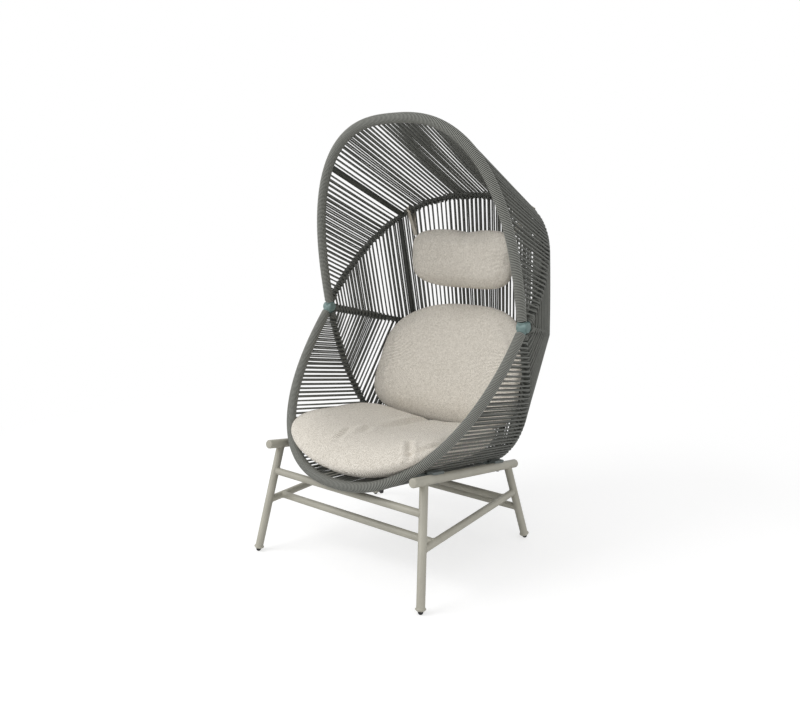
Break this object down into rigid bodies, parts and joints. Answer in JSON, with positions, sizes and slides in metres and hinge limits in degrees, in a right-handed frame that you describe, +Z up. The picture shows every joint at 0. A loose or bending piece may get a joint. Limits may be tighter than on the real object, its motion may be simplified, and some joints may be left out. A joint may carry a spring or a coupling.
{
  "type": "pod chair",
  "caption": "Egg-shaped pod chair of rope-bound steel hoops on a four-legged tube base, with loose seat, back and head cushions.",
  "frame": {"origin": "on the floor, in the middle of the footprint of the whole chair", "axes": "+Z up, -Y to the front (the way the sitter faces), +X to the right seen from the front"},
  "size_m": [0.8294, 0.8682, 1.3919],
  "materials": {
    "powder_coat": "warm grey fine-textured powder coat, satin",
    "hoop_steel": "dark slate powder coat, satin",
    "casting": "teal-grey painted casting, satin",
    "zinc": "zinc-plated steel",
    "rope": "dark grey braided synthetic rope, matt",
    "black_plastic": "black, matt",
    "upholstery": "beige melange weave, matt",
    "webbing": "beige woven strap, matt"
  },
  "bodies": {
    "frame": {"arch_core": "hoop_steel", "arch_winding": "rope", "front_hoop_core": "hoop_steel", "front_hoop_winding": "rope", "mid_arch": "rope", "waist_hoop": "rope", "seat_hoop": "rope", "left_knuckle": "casting", "right_knuckle": "casting", "canopy_cords_left": "rope", "canopy_cords_middle": "rope", "canopy_cords_right": "rope", "upper_back_cords_left": "rope", "upper_back_cords_middle": "rope", "upper_back_cords_right": "rope", "lower_back_cords_left": "rope", "lower_back_cords_middle": "rope", "lower_back_cords_right": "rope", "seat_cords_left": "rope", "seat_cords_middle": "rope", "seat_cords_right": "rope", "canopy_rib_left": "hoop_steel", "canopy_rib_right": "hoop_steel", "upper_back_rib_left": "hoop_steel", "upper_back_rib_right": "hoop_steel", "lower_back_rib_left": "hoop_steel", "lower_back_rib_right": "hoop_steel", "seat_rib_left": "hoop_steel", "seat_rib_right": "hoop_steel", "left_rail": "powder_coat", "right_rail": "powder_coat", "front_left_bracket": "casting", "front_left_bracket_bolt": "zinc", "rear_left_bracket": "casting", "rear_left_bracket_bolt": "zinc", "front_right_bracket": "casting", "front_right_bracket_bolt": "zinc", "rear_right_bracket": "casting", "rear_right_bracket_bolt": "zinc", "front_left_leg": "powder_coat", "rear_left_leg": "powder_coat", "front_right_leg": "powder_coat", "rear_right_leg": "powder_coat", "left_stretcher": "powder_coat", "right_stretcher": "powder_coat", "front_crossbar": "powder_coat", "rear_crossbar": "powder_coat", "lower_front_bar": "powder_coat", "lower_rear_bar": "powder_coat", "hoop_stud": "black_plastic"},
    "seat_cushion": {"seat_cushion": "upholstery"},
    "back_cushion": {"back_cushion": "upholstery"},
    "head_pillow": {"head_pillow": "upholstery", "left_pillow_strap": "webbing", "right_pillow_strap": "webbing"},
    "front_left_foot": {"front_left_foot": "black_plastic"},
    "rear_left_foot": {"rear_left_foot": "black_plastic"},
    "front_right_foot": {"front_right_foot": "black_plastic"},
    "rear_right_foot": {"rear_right_foot": "black_plastic"}
  },
  "joints": [
    {"name": "front_left_foot_height", "type": "slide", "parent": "frame", "child": "front_left_foot", "axis": [-0.122, -0.1802, -0.976], "range_m": [0, 0.01]},
    {"name": "rear_left_foot_height", "type": "slide", "parent": "frame", "child": "rear_left_foot", "axis": [-0.1621, 0.2285, -0.96], "range_m": [0, 0.01]},
    {"name": "front_right_foot_height", "type": "slide", "parent": "frame", "child": "front_right_foot", "axis": [0.122, -0.1802, -0.976], "range_m": [0, 0.01]},
    {"name": "rear_right_foot_height", "type": "slide", "parent": "frame", "child": "rear_right_foot", "axis": [0.1621, 0.2285, -0.96], "range_m": [0, 0.01]},
    {"name": "seat_cushion_lift", "type": "slide", "parent": "frame", "child": "seat_cushion", "axis": [0, -0.8192, 0.5736], "range_m": [0, 0.6]},
    {"name": "back_cushion_lift", "type": "slide", "parent": "frame", "child": "back_cushion", "axis": [0, -0.9063, 0.4226], "range_m": [0, 0.5]},
    {"name": "pillow_swing", "type": "hinge", "parent": "frame", "child": "head_pillow", "pos_m": [0, 0.3132, 1.114], "axis": [-1, 0, 0], "range_deg": [0, 60]}
  ]
}
